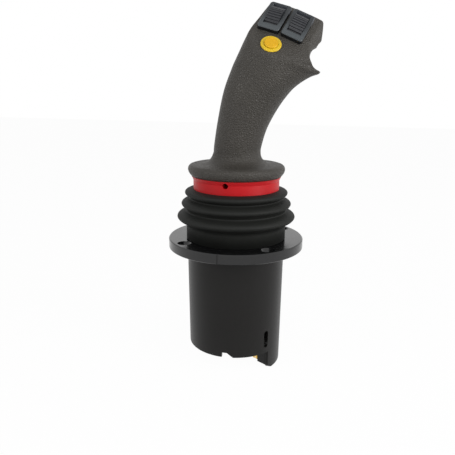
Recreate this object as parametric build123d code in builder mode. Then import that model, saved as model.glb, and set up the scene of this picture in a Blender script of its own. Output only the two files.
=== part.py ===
"""Panel-mounted two-axis industrial joystick with a leaning hand grip.

Frame: origin at the centre of the flange underside (the panel face), +Z up the lever,
+X the way the grip leans, -Y towards the operator. All sizes are in millimetres.
"""
from build123d import *
import os
from math import copysign, cos, radians, sin

# Mounting flange and the seat of the rubber boot
flange_radius = 52.5
flange_thickness = 7.3
flange_bore_radius = 28.0
flange_edge = 0.7
boss_radius = 38.0
boss_depth = 1.2
boot_seat_radius = 36.4
boot_seat_top = 16.0
bolt_edge_distance = 7.5
bolt_circle_radius = flange_radius - bolt_edge_distance
bolt_count = 4
bolt_hole_radius = 2.75
bolt_sink_radius = 5.2
index_width = 1.2
index_depth = 0.7

# Body shell below the panel
shell_top_radius = 37.9
shell_rim_radius = 36.8
shell_wall = 2.4
shell_depth = 80.0
tongue_drop = 15.0
tongue_depth = shell_depth + tongue_drop
tongue_half_angle = 30.0
tongue_corner = 5.0
cheek_thickness = 2.4
cheek_reach = 9.0
cheek_rise = 3.0
cheek_depth = tongue_depth - cheek_rise
slot_width = 4.2
slot_length = 13.8
slot_angle = 35.0
slot_z = -68.5
notch_depth = 3.8
notch_left = 1.2
notch_flat = 2.9
notch_right = 7.7

# Base plate, tie bolts and electronics
base_plate_top = -70.0
base_plate_thickness = 3.0
ledge_width = 2.1
ledge_height = 2.0
tie_circle_radius = 30.0
small_screw_radius = 1.5
small_head_radius = 2.75
small_head_height = 2.6
board_radius = 24.0
board_thickness = 1.6
board_top = -58.0
standoff_circle_radius = 19.0
standoff_radius = 2.8
chip_size = 6.0
chip_height = 1.6
connector_angle = -30.0
connector_radius = 20.5
connector_length = 12.0
connector_width = 7.0
connector_height = 13.0
terminal_count = 4
terminal_pitch = 2.8
terminal_width = 1.8
terminal_thickness = 0.8
terminal_length = 5.0

# Gimbal: yoke, ring, pins and bushes
pivot_z = -16.0
yoke_inner_radius = 27.0
yoke_thickness = 5.0
lug_face = 26.0
lug_back = 31.5
lug_radius = 7.0
yoke_screw_circle = 32.2
ring_outer_half = 21.0
ring_inner_half = 16.0
ring_height = 14.0
ring_corner = 8.0
pin_radius = 3.0
bush_radius = 4.5
bush_flange_radius = 6.0
bush_flange = 0.8
spring_wire = 0.9
spring_radius = 3.9
spring_pitch = 1.25

# Lever
shaft_radius = 6.5
shaft_top = 90.0
shaft_tail_radius = 4.5
shaft_bottom = -46.0
wire_bore_radius = 3.4
hub_radius = 7.5
hub_half = 9.5
holder_radius = 6.5
holder_length = 14.0
magnet_radius = 4.0
magnet_height = 4.5

# Rubber boot
boot_wall = 1.8
cuff_radius = 38.6
cuff_top = 17.5
crests = [(45.65, 24.0), (42.3, 34.0), (39.6, 42.2)]
valleys = [(38.0, 29.0), (35.2, 38.6)]
crest_round = 2.6
valley_round = 1.0
boot_neck_radius = 30.5
boot_neck_top = 48.0
boot_shoulder = 44.6

# Red collar under the grip
collar_radius = 33.0
collar_flare_radius = 34.4
collar_bottom = 45.0
collar_flare_start = 52.4
collar_top = 55.4
collar_pocket_radius = 30.8
collar_pocket_depth = 3.4
set_screw_radius = 2.1
set_screw_length = 8.0
set_screw_z = 52.2
set_screw_count = 3

# Hand grip
disc_radius = 37.05
disc_top = 64.0
disc_round = 2.6
stem_radius = 17.0
stem_fillet = 7.0
grip_wall = 2.8
split_rise = 17.5
seam = 0.2
head_lean = 20.0
head_x = 33.0
head_z = 155.0
top_height = 21.4
top_start_y = 13.3
top_fall = 25.0
groove_turn = 14.0
groove_circles = [(140.8, 60.1, 8.2), (143.1, 66.5, 11.7)]
flank_u = 20.4
flank_turn = 64.0
flank_wall = 1.9
cavity_floor = 76.0
socket_radius = 10.0
socket_top = 94.0
grip_screw_places = [(-11.5, 68.5), (11.5, 68.5), (6.8, 101.5), (19.5, 127.5)]
grip_boss_radius = 4.2
grip_head_radius = 3.0
grip_seat = 3.5
grip_boss_front = 19.0
grip_boss_rear = 20.2
grip_screw_length = 16.0

# Thumb face with its two rollers and push button
face_offset_u = -2.0
face_start_y = -21.6
face_start_s = -13.5
face_pitch = 45.0
crown_radius = 95.0
frame_width = 16.2
frame_length = 27.4
frame_pitch = 17.4
frame_bottom = 18.8
frame_height = 3.0
frame_collar_depth = 3.5
frame_corner = 2.2
frame_edge = 0.5
frame_side_overlap = 1.5
frame_end_overlap = 0.65
window_width = 10.6
window_length = 20.8
window_margin = 4.7
roller_radius = 13.0
roller_crest = 5.4
roller_gap = 0.25
roller_half_angle = 52.0
roller_travel = 18.0
roller_groove_radius = 0.8
roller_groove_step = 9.5
roller_groove_count = 9
roller_hub_radius = 3.0
axle_radius = 1.2
cheek_wall = 1.0
frame_cheek_radius = 3.2
button_u = -1.4
button_v = 8.4
button_ring_radius = 7.3
button_ring_height = 0.9
button_neck_radius = 6.6
button_body_top = -1.5
button_body_depth = 14.0
button_cap_radius = 4.9
button_cap_base = 0.2
button_edge = 0.6
button_coil_radius = 2.6
button_cap_top = 2.0
button_stem_radius = 4.0
button_stem_depth = 5.5
button_bore_depth = 10.0

# Fits: clearances between neighbouring pieces
running_clearance = 0.05
assembly_clearance = 0.1
drop_in_clearance = 0.2

os.makedirs("parts", exist_ok=True)


def radial_plane(turn):
    """Upright plane through the origin that faces outwards at an angle in degrees."""
    out = radians(turn)
    return Plane(origin=(0, 0, 0), x_dir=(-sin(out), cos(out), 0), z_dir=(cos(out), sin(out), 0))


def save(piece, name):
    """Label one finished piece and write it to its own file."""
    piece.label = name
    export_step(piece, f"parts/{name}.step")


# Mounting flange: a turned disc with the boot seat above and a panel boss below
with BuildPart() as mounting_flange:
    with BuildSketch(Plane.XZ):
        with BuildLine():
            Polyline(
                (flange_bore_radius, -boss_depth),
                (boss_radius, -boss_depth),
                (boss_radius, 0),
                (flange_radius - flange_edge / 2, 0),
                (flange_radius, flange_edge / 2),
                (flange_radius, flange_thickness - flange_edge),
                (flange_radius - flange_edge, flange_thickness),
                (boot_seat_radius, flange_thickness),
                (boot_seat_radius, boot_seat_top),
                (flange_bore_radius, boot_seat_top),
                close=True,
            )
        make_face()
    revolve(axis=Axis.Z)
    with Locations(Plane.XY.offset(flange_thickness)):
        with PolarLocations(bolt_circle_radius, bolt_count, start_angle=45):
            CounterSinkHole(bolt_hole_radius, bolt_sink_radius)
    with PolarLocations(yoke_screw_circle, 2, start_angle=60, angular_range=60, endpoint=True):
        Cylinder(small_screw_radius, 2 * flange_thickness - 4, mode=Mode.SUBTRACT)
    with PolarLocations(yoke_screw_circle, 2, start_angle=240, angular_range=60, endpoint=True):
        Cylinder(small_screw_radius, 2 * flange_thickness - 4, mode=Mode.SUBTRACT)
    with Locations((0, -flange_radius, flange_thickness / 2)):
        Box(index_width, 2 * index_depth, flange_thickness, mode=Mode.SUBTRACT)
save(mounting_flange.part, "mounting_flange")

# Body shell: a drafted tube with a ledge, a cable tongue, two tie slots and a rim notch
draft = (shell_top_radius - shell_rim_radius) / shell_depth


def shell_radius(z):
    """Outer radius of the drafted shell at height z."""
    return shell_top_radius + draft * z


with BuildPart() as body_shell:
    with BuildSketch(Plane.XZ):
        with BuildLine():
            Polyline(
                (shell_radius(-boss_depth) - shell_wall, -boss_depth),
                (shell_radius(-boss_depth), -boss_depth),
                (shell_radius(-tongue_depth), -tongue_depth),
                (shell_radius(-tongue_depth) - shell_wall, -tongue_depth),
                (shell_radius(base_plate_top) - shell_wall, base_plate_top),
                (shell_radius(base_plate_top) - shell_wall - ledge_width, base_plate_top),
                (shell_radius(base_plate_top) - shell_wall - ledge_width, base_plate_top + ledge_height),
                (shell_radius(base_plate_top) - shell_wall, base_plate_top + ledge_height + ledge_width),
                close=True,
            )
        make_face()
    revolve(axis=Axis.Z)
    tongue_half_width = shell_rim_radius * sin(radians(tongue_half_angle))
    with BuildSketch(Plane.YZ):
        with Locations((0, -shell_depth)):
            Rectangle(2 * flange_radius, 2 * tongue_depth, align=(Align.CENTER, Align.MAX))
        with Locations((0, -tongue_depth)):
            RectangleRounded(
                2 * tongue_half_width,
                2 * (tongue_depth - shell_depth),
                tongue_corner,
                align=(Align.CENTER, Align.MIN),
                mode=Mode.SUBTRACT,
            )
    extrude(amount=flange_radius, mode=Mode.SUBTRACT)
    with BuildSketch(Plane.YZ):
        with Locations((0, -shell_depth)):
            Rectangle(2 * flange_radius, 2 * tongue_depth, align=(Align.CENTER, Align.MAX))
    extrude(amount=-flange_radius, mode=Mode.SUBTRACT)
    cheek_top = base_plate_top - base_plate_thickness - drop_in_clearance
    with Locations(*[Plane.XY.rotated((0, 0, turn)) for turn in (-tongue_half_angle, tongue_half_angle)]):
        with Locations((shell_rim_radius - shell_wall / 2 - cheek_reach / 2, 0, (cheek_top - cheek_depth) / 2)):
            Box(cheek_reach, cheek_thickness, cheek_top + cheek_depth)
    for side in (-slot_angle, slot_angle):
        with BuildSketch(radial_plane(side)):
            with Locations((0, slot_z)):
                SlotOverall(slot_length, slot_width, rotation=90)
        extrude(amount=flange_radius, mode=Mode.SUBTRACT)
    with BuildSketch(Plane.XZ):
        with BuildLine():
            Polyline(
                (-notch_left, -tongue_depth),
                (-notch_left, notch_depth - shell_depth),
                (notch_flat, notch_depth - shell_depth),
                (notch_right, -shell_depth),
                (notch_right, -tongue_depth),
                close=True,
            )
        make_face()
    extrude(amount=flange_radius, mode=Mode.SUBTRACT)
save(body_shell.part, "body_shell")

# Gimbal yoke: a ring under the flange with two lugs that carry the fore-and-aft pins
yoke_top = -boss_depth
yoke_bottom = yoke_top - yoke_thickness
yoke_outer_radius = shell_radius(yoke_bottom) - shell_wall - assembly_clearance
yoke_screw_angles = [60, 120, 240, 300]
tie_angles = [45, 135, 225, 315]


def polar(radius, angle, z):
    """Point at a radius, an angle in degrees and a height."""
    return (radius * cos(radians(angle)), radius * sin(radians(angle)), z)


with BuildPart() as gimbal_yoke:
    with BuildSketch(Plane.XY.offset(yoke_bottom)):
        Circle(yoke_outer_radius)
        Circle(yoke_inner_radius, mode=Mode.SUBTRACT)
    extrude(amount=yoke_thickness)
    for side in (-1, 1):
        with BuildSketch(Plane.YZ.offset(side * lug_face)):
            with Locations((0, pivot_z)):
                Circle(lug_radius)
            with Locations((0, (pivot_z + yoke_top) / 2)):
                Rectangle(2 * lug_radius, yoke_top - pivot_z)
        extrude(amount=side * (lug_back - lug_face))
    with Locations((0, 0, pivot_z)):
        Cylinder(bush_radius, 3 * lug_back, rotation=(0, 90, 0), mode=Mode.SUBTRACT)
    with Locations(*[polar(yoke_screw_circle, turn, yoke_bottom) for turn in yoke_screw_angles]):
        Cylinder(small_screw_radius + assembly_clearance, 4 * yoke_thickness, mode=Mode.SUBTRACT)
    with Locations(*[polar(tie_circle_radius, turn, yoke_bottom) for turn in tie_angles]):
        Cylinder(small_screw_radius, 2 * yoke_thickness - 2, mode=Mode.SUBTRACT)
save(gimbal_yoke.part, "gimbal_yoke")

# Socket-head screws that hold the yoke up against the flange
with BuildPart() as yoke_screws:
    with Locations(*[polar(yoke_screw_circle, turn, yoke_bottom) for turn in yoke_screw_angles]):
        Cylinder(small_screw_radius, yoke_thickness + 4, align=(Align.CENTER, Align.CENTER, Align.MIN))
        Cylinder(small_head_radius, small_head_height, align=(Align.CENTER, Align.CENTER, Align.MAX))
save(yoke_screws.part, "yoke_screws")


def flanged_bush(axis_plane, face, back):
    """Bush from face to back along the plane normal, with its flange before the face."""
    with BuildPart() as bush:
        with BuildSketch(axis_plane.offset(face)):
            Circle(bush_radius)
        extrude(amount=back - face)
        with BuildSketch(axis_plane.offset(face)):
            Circle(bush_flange_radius)
        extrude(amount=-bush_flange)
        with BuildSketch(axis_plane.offset(face - bush_flange)):
            Circle(pin_radius + running_clearance)
        extrude(amount=back - face + bush_flange, mode=Mode.SUBTRACT)
    return bush.part


def coil(axis_plane, start, turns, radius):
    """Square-wire coil round the plane normal, its first turn centred at start."""
    with BuildPart() as spring:
        with BuildLine() as path:
            Helix(
                pitch=spring_pitch,
                height=turns * spring_pitch,
                radius=radius,
                center=axis_plane.offset(start).origin,
                direction=axis_plane.z_dir,
            )
        with BuildSketch(Plane(origin=path.line @ 0, z_dir=path.line % 0)):
            Rectangle(spring_wire, spring_wire)
        sweep(is_frenet=True)
    return spring.part


fore_aft_planes = [
    Plane(origin=(0, 0, pivot_z), x_dir=(0, 1, 0), z_dir=(side, 0, 0)) for side in (-1, 1)
]
side_planes = [
    Plane(origin=(0, 0, pivot_z), x_dir=(1, 0, 0), z_dir=(0, side, 0)) for side in (-1, 1)
]
yoke_bush_pair = [flanged_bush(place, lug_face, lug_back) for place in fore_aft_planes]
with BuildPart() as yoke_bushes:
    add(yoke_bush_pair)
save(yoke_bushes.part, "yoke_bushes")

fore_aft_gap = (ring_outer_half + lug_face - bush_flange) / 2
fore_aft_coils = [coil(place, fore_aft_gap - spring_pitch, 2, spring_radius) for place in fore_aft_planes]
with BuildPart() as fore_aft_springs:
    add(fore_aft_coils)
save(fore_aft_springs.part, "fore_aft_springs")

# Gimbal ring: a square frame that tilts on the yoke and carries the lever's cross pin
with BuildPart() as gimbal_ring:
    with BuildSketch(Plane.XY.offset(pivot_z - ring_height / 2)):
        RectangleRounded(2 * ring_outer_half, 2 * ring_outer_half, ring_corner)
        RectangleRounded(
            2 * ring_inner_half,
            2 * ring_inner_half,
            ring_corner - ring_outer_half + ring_inner_half,
            mode=Mode.SUBTRACT,
        )
    extrude(amount=ring_height)
    with Locations((0, 0, pivot_z)):
        Cylinder(pin_radius, 3 * ring_outer_half, rotation=(0, 90, 0), mode=Mode.SUBTRACT)
        Cylinder(bush_radius, 3 * ring_outer_half, rotation=(90, 0, 0), mode=Mode.SUBTRACT)
save(gimbal_ring.part, "gimbal_ring")

with BuildPart() as gimbal_pins:
    for place in fore_aft_planes:
        with BuildSketch(place.offset(ring_inner_half)):
            Circle(pin_radius)
        extrude(amount=lug_back - ring_inner_half)
save(gimbal_pins.part, "gimbal_pins")

gimbal_bush_pair = [flanged_bush(place, ring_inner_half, ring_outer_half) for place in side_planes]
with BuildPart() as gimbal_bushes:
    add(gimbal_bush_pair)
save(gimbal_bushes.part, "gimbal_bushes")

side_gap = (hub_half + ring_inner_half - bush_flange) / 2
side_coils = [coil(place, side_gap - 1.5 * spring_pitch, 3, spring_radius) for place in side_planes]
with BuildPart() as side_springs:
    add(side_coils)
save(side_springs.part, "side_springs")

# Lever shaft: a drilled rod with a cross hub at the pivot and a thin tail for the magnet
with BuildPart() as lever_shaft:
    with BuildSketch(Plane.XY.offset(pivot_z)):
        Circle(shaft_radius)
    extrude(amount=shaft_top - pivot_z)
    with BuildSketch(Plane.XY.offset(shaft_bottom)):
        Circle(shaft_tail_radius)
    extrude(amount=pivot_z - shaft_bottom)
    with Locations((0, 0, pivot_z)):
        Cylinder(hub_radius, 2 * hub_half, rotation=(90, 0, 0))
        Cylinder(pin_radius, 3 * hub_half, rotation=(90, 0, 0), mode=Mode.SUBTRACT)
    with BuildSketch(Plane.XY.offset(shaft_top)):
        Circle(wire_bore_radius)
    extrude(amount=-shaft_top, mode=Mode.SUBTRACT)
    with BuildSketch(Plane.YZ.offset(0)):
        with Locations((0, wire_bore_radius)):
            Circle(wire_bore_radius - 1)
    extrude(amount=2 * shaft_radius, mode=Mode.SUBTRACT)
save(lever_shaft.part, "lever_shaft")

with BuildPart() as cross_pin:
    with Locations((0, 0, pivot_z)):
        Cylinder(pin_radius, 2 * ring_outer_half, rotation=(90, 0, 0))
save(cross_pin.part, "cross_pin")

# Magnet holder pressed on the tail, with the sensor magnet in its lower end
holder_bottom = shaft_bottom - holder_length / 2 - 1
with BuildPart() as magnet_holder:
    with BuildSketch(Plane.XY.offset(holder_bottom)):
        Circle(holder_radius)
    extrude(amount=holder_length)
    with BuildSketch(Plane.XY.offset(shaft_bottom)):
        Circle(shaft_tail_radius)
    extrude(amount=holder_length, mode=Mode.SUBTRACT)
    with BuildSketch(Plane.XY.offset(holder_bottom)):
        Circle(magnet_radius)
    extrude(amount=magnet_height, mode=Mode.SUBTRACT)
save(magnet_holder.part, "magnet_holder")

with BuildPart() as sensor_magnet:
    with BuildSketch(Plane.XY.offset(holder_bottom)):
        Circle(magnet_radius)
    extrude(amount=magnet_height)
save(sensor_magnet.part, "sensor_magnet")

# Base plate, drawn up against the shell's ledge by four long tie bolts into the yoke
base_plate_bottom = base_plate_top - base_plate_thickness
base_plate_radius = shell_radius(base_plate_bottom) - shell_wall - assembly_clearance
connector_place = Plane.XY.rotated((0, 0, connector_angle))
with BuildPart() as base_plate:
    with BuildSketch(Plane.XY.offset(base_plate_bottom)):
        Circle(base_plate_radius)
        with Locations(*[polar(tie_circle_radius, turn, 0) for turn in tie_angles]):
            Circle(small_screw_radius + assembly_clearance, mode=Mode.SUBTRACT)
        with Locations(polar(connector_radius, connector_angle, 0)):
            Rectangle(
                connector_length - 3, connector_width - 3, rotation=connector_angle, mode=Mode.SUBTRACT
            )
    extrude(amount=base_plate_thickness)
save(base_plate.part, "base_plate")

with BuildPart() as tie_bolts:
    with Locations(*[polar(tie_circle_radius, turn, base_plate_bottom) for turn in tie_angles]):
        Cylinder(
            small_screw_radius,
            yoke_bottom - base_plate_bottom + yoke_thickness - 2,
            align=(Align.CENTER, Align.CENTER, Align.MIN),
        )
        Cylinder(small_head_radius, small_head_height, align=(Align.CENTER, Align.CENTER, Align.MAX))
save(tie_bolts.part, "tie_bolts")

# Sensor board on four standoffs, with the Hall sensor under the magnet
board_bottom = board_top - board_thickness
standoff_places = [polar(standoff_circle_radius, turn, 0) for turn in (0, 90, 180, 270)]
with BuildPart() as sensor_board:
    with BuildSketch(Plane.XY.offset(board_bottom)):
        Circle(board_radius)
        with Locations(*standoff_places):
            Circle(small_screw_radius + assembly_clearance, mode=Mode.SUBTRACT)
    extrude(amount=board_thickness)
save(sensor_board.part, "sensor_board")

with BuildPart() as board_standoffs:
    with BuildSketch(Plane.XY.offset(base_plate_top)):
        with Locations(*standoff_places):
            Circle(standoff_radius)
            Circle(small_screw_radius, mode=Mode.SUBTRACT)
    extrude(amount=board_bottom - base_plate_top)
save(board_standoffs.part, "board_standoffs")

with BuildPart() as board_screws:
    with BuildSketch(Plane.XY.offset(board_top)):
        with Locations(*standoff_places):
            Circle(small_screw_radius)
    extrude(amount=-(board_top - base_plate_top) * 2 / 3)
    with BuildSketch(Plane.XY.offset(board_top)):
        with Locations(*standoff_places):
            Circle(small_head_radius)
    extrude(amount=small_head_height / 2)
save(board_screws.part, "board_screws")

with BuildPart() as hall_sensor:
    with BuildSketch(Plane.XY.offset(board_top)):
        Rectangle(chip_size, chip_size)
    extrude(amount=chip_height)
save(hall_sensor.part, "hall_sensor")

# Connector: a white housing below the base plate with a row of brass blades
with BuildPart() as connector_housing:
    with BuildSketch(connector_place.offset(base_plate_bottom)):
        with Locations((connector_radius, 0)):
            RectangleRounded(connector_length, connector_width, 1)
    extrude(amount=-connector_height)
save(connector_housing.part, "connector_housing")

with BuildPart() as connector_terminals:
    with BuildSketch(connector_place.offset(base_plate_bottom - connector_height)):
        with Locations((connector_radius, 0)):
            with GridLocations(terminal_pitch, 1, terminal_count, 1):
                Rectangle(terminal_width, terminal_thickness)
    extrude(amount=-terminal_length)
save(connector_terminals.part, "connector_terminals")

# Rubber boot: a plain cuff on the flange seat, three folds and a neck inside the collar
fold_path = [(cuff_radius, flange_thickness + drop_in_clearance), (cuff_radius, cuff_top)]
fold_rounds = [valley_round]
crest_overshoot = crest_round * 0.8
for index, (radius, height) in enumerate(crests):
    fold_path.append((radius + crest_overshoot, height))
    fold_rounds.append(crest_round)
    if index < len(valleys):
        fold_path.append(valleys[index])
        fold_rounds.append(valley_round)
fold_path.append((boot_neck_radius, boot_shoulder))
fold_rounds.append(valley_round)
fold_path.append((boot_neck_radius, boot_neck_top))
with BuildPart() as rubber_boot:
    with BuildSketch(Plane.XZ):
        with BuildLine():
            FilletPolyline(*fold_path, radius=fold_rounds)
            offset(amount=boot_wall, side=Side.LEFT)
        make_face()
    revolve(axis=Axis.Z)
save(rubber_boot.part, "rubber_boot")

# Red collar clamped on the shaft: flared rim, pocket for the boot neck, radial screw holes
set_screw_turns = [-90 + 360 / set_screw_count * i for i in range(set_screw_count)]
with BuildPart() as grip_collar:
    with BuildSketch(Plane.XZ):
        with BuildLine():
            Polyline(
                (shaft_radius + running_clearance, collar_bottom + collar_pocket_depth),
                (collar_pocket_radius, collar_bottom + collar_pocket_depth),
                (collar_pocket_radius, collar_bottom),
                (collar_radius, collar_bottom),
                (collar_radius, collar_flare_start),
                (collar_flare_radius, collar_top),
                (shaft_radius + running_clearance, collar_top),
                close=True,
            )
        make_face()
    revolve(axis=Axis.Z)
    for turn in set_screw_turns:
        with BuildSketch(radial_plane(turn)):
            with Locations((0, set_screw_z)):
                Circle(set_screw_radius)
        extrude(amount=flange_radius, mode=Mode.SUBTRACT)
save(grip_collar.part, "grip_collar")

with BuildPart() as collar_set_screws:
    for turn in set_screw_turns:
        with BuildSketch(radial_plane(turn).offset(shaft_radius)):
            with Locations((0, set_screw_z)):
                Circle(set_screw_radius)
                RegularPolygon(set_screw_radius * 0.55, 6, mode=Mode.SUBTRACT)
        extrude(amount=set_screw_length)
    with Locations((0, 0, set_screw_z)):
        Cylinder(shaft_radius, 4 * set_screw_radius, mode=Mode.SUBTRACT)
save(collar_set_screws.part, "collar_set_screws")

# Hand grip form: superellipse sections along a spine that leans over to the head
lean_x = Vector(cos(radians(head_lean)), 0, -sin(radians(head_lean)))
lean_z = Vector(sin(radians(head_lean)), 0, cos(radians(head_lean)))
head_centre = Vector(head_x, 0, head_z)


def spine_plane(x, z, tilt):
    """Section plane on the spine, leaned by tilt degrees about Y."""
    turn = radians(tilt)
    return Plane(origin=(x, 0, z), x_dir=(cos(turn), 0, -sin(turn)), z_dir=(sin(turn), 0, cos(turn)))


def head_plane(height):
    """Section plane of the head, at a height along the leaned axis from the head centre."""
    return Plane(origin=head_centre + lean_z * height, x_dir=lean_x, z_dir=lean_z)


# Each station: plane, reach to the left, to the right, to the front, to the rear, squareness
# on the left and on the right
grip_stations = [
    (spine_plane(0, disc_top - 4, 0), 18.4, 18.4, 18.6, 18.6, 2.0, 2.0),
    (spine_plane(0.35, 69.5, 2), 17.9, 17.9, 18.6, 18.6, 2.0, 2.0),
    (spine_plane(0.85, 78.7, 4), 17.7, 17.7, 18.8, 18.8, 2.0, 2.0),
    (spine_plane(4.35, 94.4, 8), 18.5, 18.5, 19.7, 20.3, 2.1, 2.1),
    (spine_plane(10.8, 112.5, 15), 20.8, 20.8, 20.8, 21.5, 2.3, 2.2),
    (head_plane(-32.6), 27.0, 19.7, 21.2, 22.5, 2.4, 2.1),
    (head_plane(-19.0), 25.6, 28.2, 21.5, 23.2, 2.5, 1.75),
    (head_plane(-6.0), 23.8, 38.5, 21.7, 24.0, 2.7, 1.65),
    (head_plane(6.6), 21.7, 29.6, 21.8, 24.0, 2.9, 2.6),
    (head_plane(14.5), 21.0, 27.6, 21.6, 23.6, 3.1, 3.0),
    (head_plane(20.5), 20.9, 25.8, 21.2, 22.8, 3.1, 3.1),
    (head_plane(27.0), 20.4, 24.0, 20.6, 21.8, 3.1, 3.1),
]
outline_steps = 16


def outline(left, right, front, rear, left_power, right_power):
    """Points of a superellipse with its own reach each way and its own squareness on each side."""
    points = []
    for step in range(outline_steps):
        turn = 2 * radians(180) * step / outline_steps
        across = right if cos(turn) > 0 else left
        along = rear if sin(turn) > 0 else front
        power = right_power if cos(turn) > 0 else left_power
        points.append(
            (
                copysign(across * abs(cos(turn)) ** (2 / power), cos(turn)),
                copysign(along * abs(sin(turn)) ** (2 / power), sin(turn)),
            )
        )
    return points


def grip_loft(stations, straight=False):
    """Loft through the stations, smooth or straight from each to the next."""
    with BuildPart() as form:
        for place, *reaches in stations:
            with BuildSketch(place):
                with BuildLine():
                    Spline(*outline(*reaches), periodic=True)
                make_face()
        loft(ruled=straight)
    return form.part


# Thumb face: a shallow crowned cut across the head, with its own plane
face_normal = lean_z * sin(radians(face_pitch)) - Vector(0, cos(radians(face_pitch)), 0)
face_plane = Plane(
    origin=head_centre + lean_x * face_offset_u + lean_z * face_start_s + Vector(0, face_start_y, 0),
    x_dir=lean_x,
    z_dir=face_normal,
)


def face_cutter(depth):
    """Everything above the crowned thumb face lowered by depth."""
    reach = 4 * frame_length
    crown_axis = face_plane.offset(-depth - crown_radius)
    with BuildPart() as cutter:
        with BuildSketch(face_plane.offset(-depth - frame_length)):
            Rectangle(reach, 2 * reach)
        extrude(amount=reach)
        with BuildSketch(Plane(origin=crown_axis.origin, x_dir=crown_axis.x_dir, z_dir=crown_axis.y_dir)):
            Circle(crown_radius)
        extrude(amount=2 * reach, both=True, mode=Mode.SUBTRACT)
    return cutter.part


def on_face(u, v):
    """Plane tangent to the crowned face at u across and v up from its lower edge."""
    turn = u / crown_radius
    x_dir = face_plane.x_dir * cos(turn) - face_plane.z_dir * sin(turn)
    z_dir = face_plane.z_dir * cos(turn) + face_plane.x_dir * sin(turn)
    return Plane(
        origin=face_plane.origin
        + face_plane.y_dir * v
        + z_dir * crown_radius
        - face_plane.z_dir * crown_radius,
        x_dir=x_dir,
        z_dir=z_dir,
    )


grip_outer = grip_loft(grip_stations)
# The hollow inside, a wall thinner each way
cavity_stations = [
    (spine_plane(0.7, cavity_floor, 4), 14.0, 13.4, 15.4, 15.4, 2.0, 2.0),
    (spine_plane(4.35, 94.4, 8), 15.4, 15.2, 16.7, 17.2, 2.1, 2.1),
    (spine_plane(10.8, 112.5, 15), 17.8, 17.4, 17.8, 18.5, 2.3, 2.2),
    (head_plane(-32.6), 23.6, 16.2, 18.2, 19.5, 2.4, 2.2),
    (head_plane(-19.0), 22.4, 18.0, 18.5, 20.2, 2.5, 2.3),
    (head_plane(-4.8), 20.6, 20.0, 18.7, 21.0, 2.7, 2.6),
    (head_plane(6.6), 18.6, 21.4, 18.8, 21.0, 2.9, 2.8),
    (head_plane(12.5), 17.6, 20.6, 18.6, 20.6, 3.0, 3.0),
]
grip_cavity = grip_loft(cavity_stations, straight=True)
thumb_cut = face_cutter(0)
cavity_cut = face_cutter(grip_wall)

# Top of the head, falling to the rear, and the flank beside the right roller
top_normal = lean_z * cos(radians(top_fall)) + Vector(0, sin(radians(top_fall)), 0)
top_plane = Plane(
    origin=head_centre + lean_z * top_height + Vector(0, top_start_y, 0), x_dir=lean_x, z_dir=top_normal
)
groove_axis = Vector(-sin(radians(groove_turn)), cos(radians(groove_turn)), 0)
groove_plane = Plane(origin=(0, 0, 0), x_dir=(0, 0, 1), z_dir=groove_axis)
flank_normal = face_normal * cos(radians(flank_turn)) + lean_x * sin(radians(flank_turn))
flank_plane = Plane(origin=face_plane.origin + lean_x * flank_u, x_dir=face_plane.y_dir, z_dir=flank_normal)


def beyond(cut_plane, low):
    """Block on the outer side of a cutting plane, from low upwards along the plane's X."""
    with BuildPart() as block:
        with BuildSketch(cut_plane):
            with Locations((low, 0)):
                Rectangle(4 * frame_length, 4 * frame_length, align=(Align.MIN, Align.CENTER))
        extrude(amount=frame_length)
    return block.part


with BuildPart() as cavity_form:
    add(grip_cavity)
    add(cavity_cut, mode=Mode.SUBTRACT)
    add(beyond(flank_plane.offset(-flank_wall), 0), mode=Mode.SUBTRACT)

roller_places = [on_face(side * frame_pitch / 2, frame_bottom + frame_length / 2) for side in (-1, 1)]
button_place = on_face(button_u, button_v)
frame_hole_width = frame_width - 2 * frame_side_overlap
frame_hole_length = frame_length - 2 * frame_end_overlap
window_middle = window_margin + (window_length - frame_length) / 2
axle_depth = roller_radius - roller_crest
cheek_outer = window_width / 2 + cheek_wall


def axle_plane(place, across):
    """Plane across a roller's axle: X up the face, Y out of it, at a distance along the axle."""
    spot = place.origin + place.y_dir * window_middle - place.z_dir * axle_depth + place.x_dir * across
    return Plane(origin=spot, x_dir=place.y_dir, z_dir=place.x_dir)


# Split plane of the two grip shells: it rises towards the rear so that the front shell
# carries the whole thumb face
split_height = head_z - collar_top
split_slope = split_rise / split_height


def split_y(z):
    """Where the split plane lies at height z."""
    return split_slope * (z - collar_top)


split_plane = Plane(origin=(0, 0, collar_top), x_dir=(1, 0, 0), z_dir=(0, 1, -split_slope))

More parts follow.
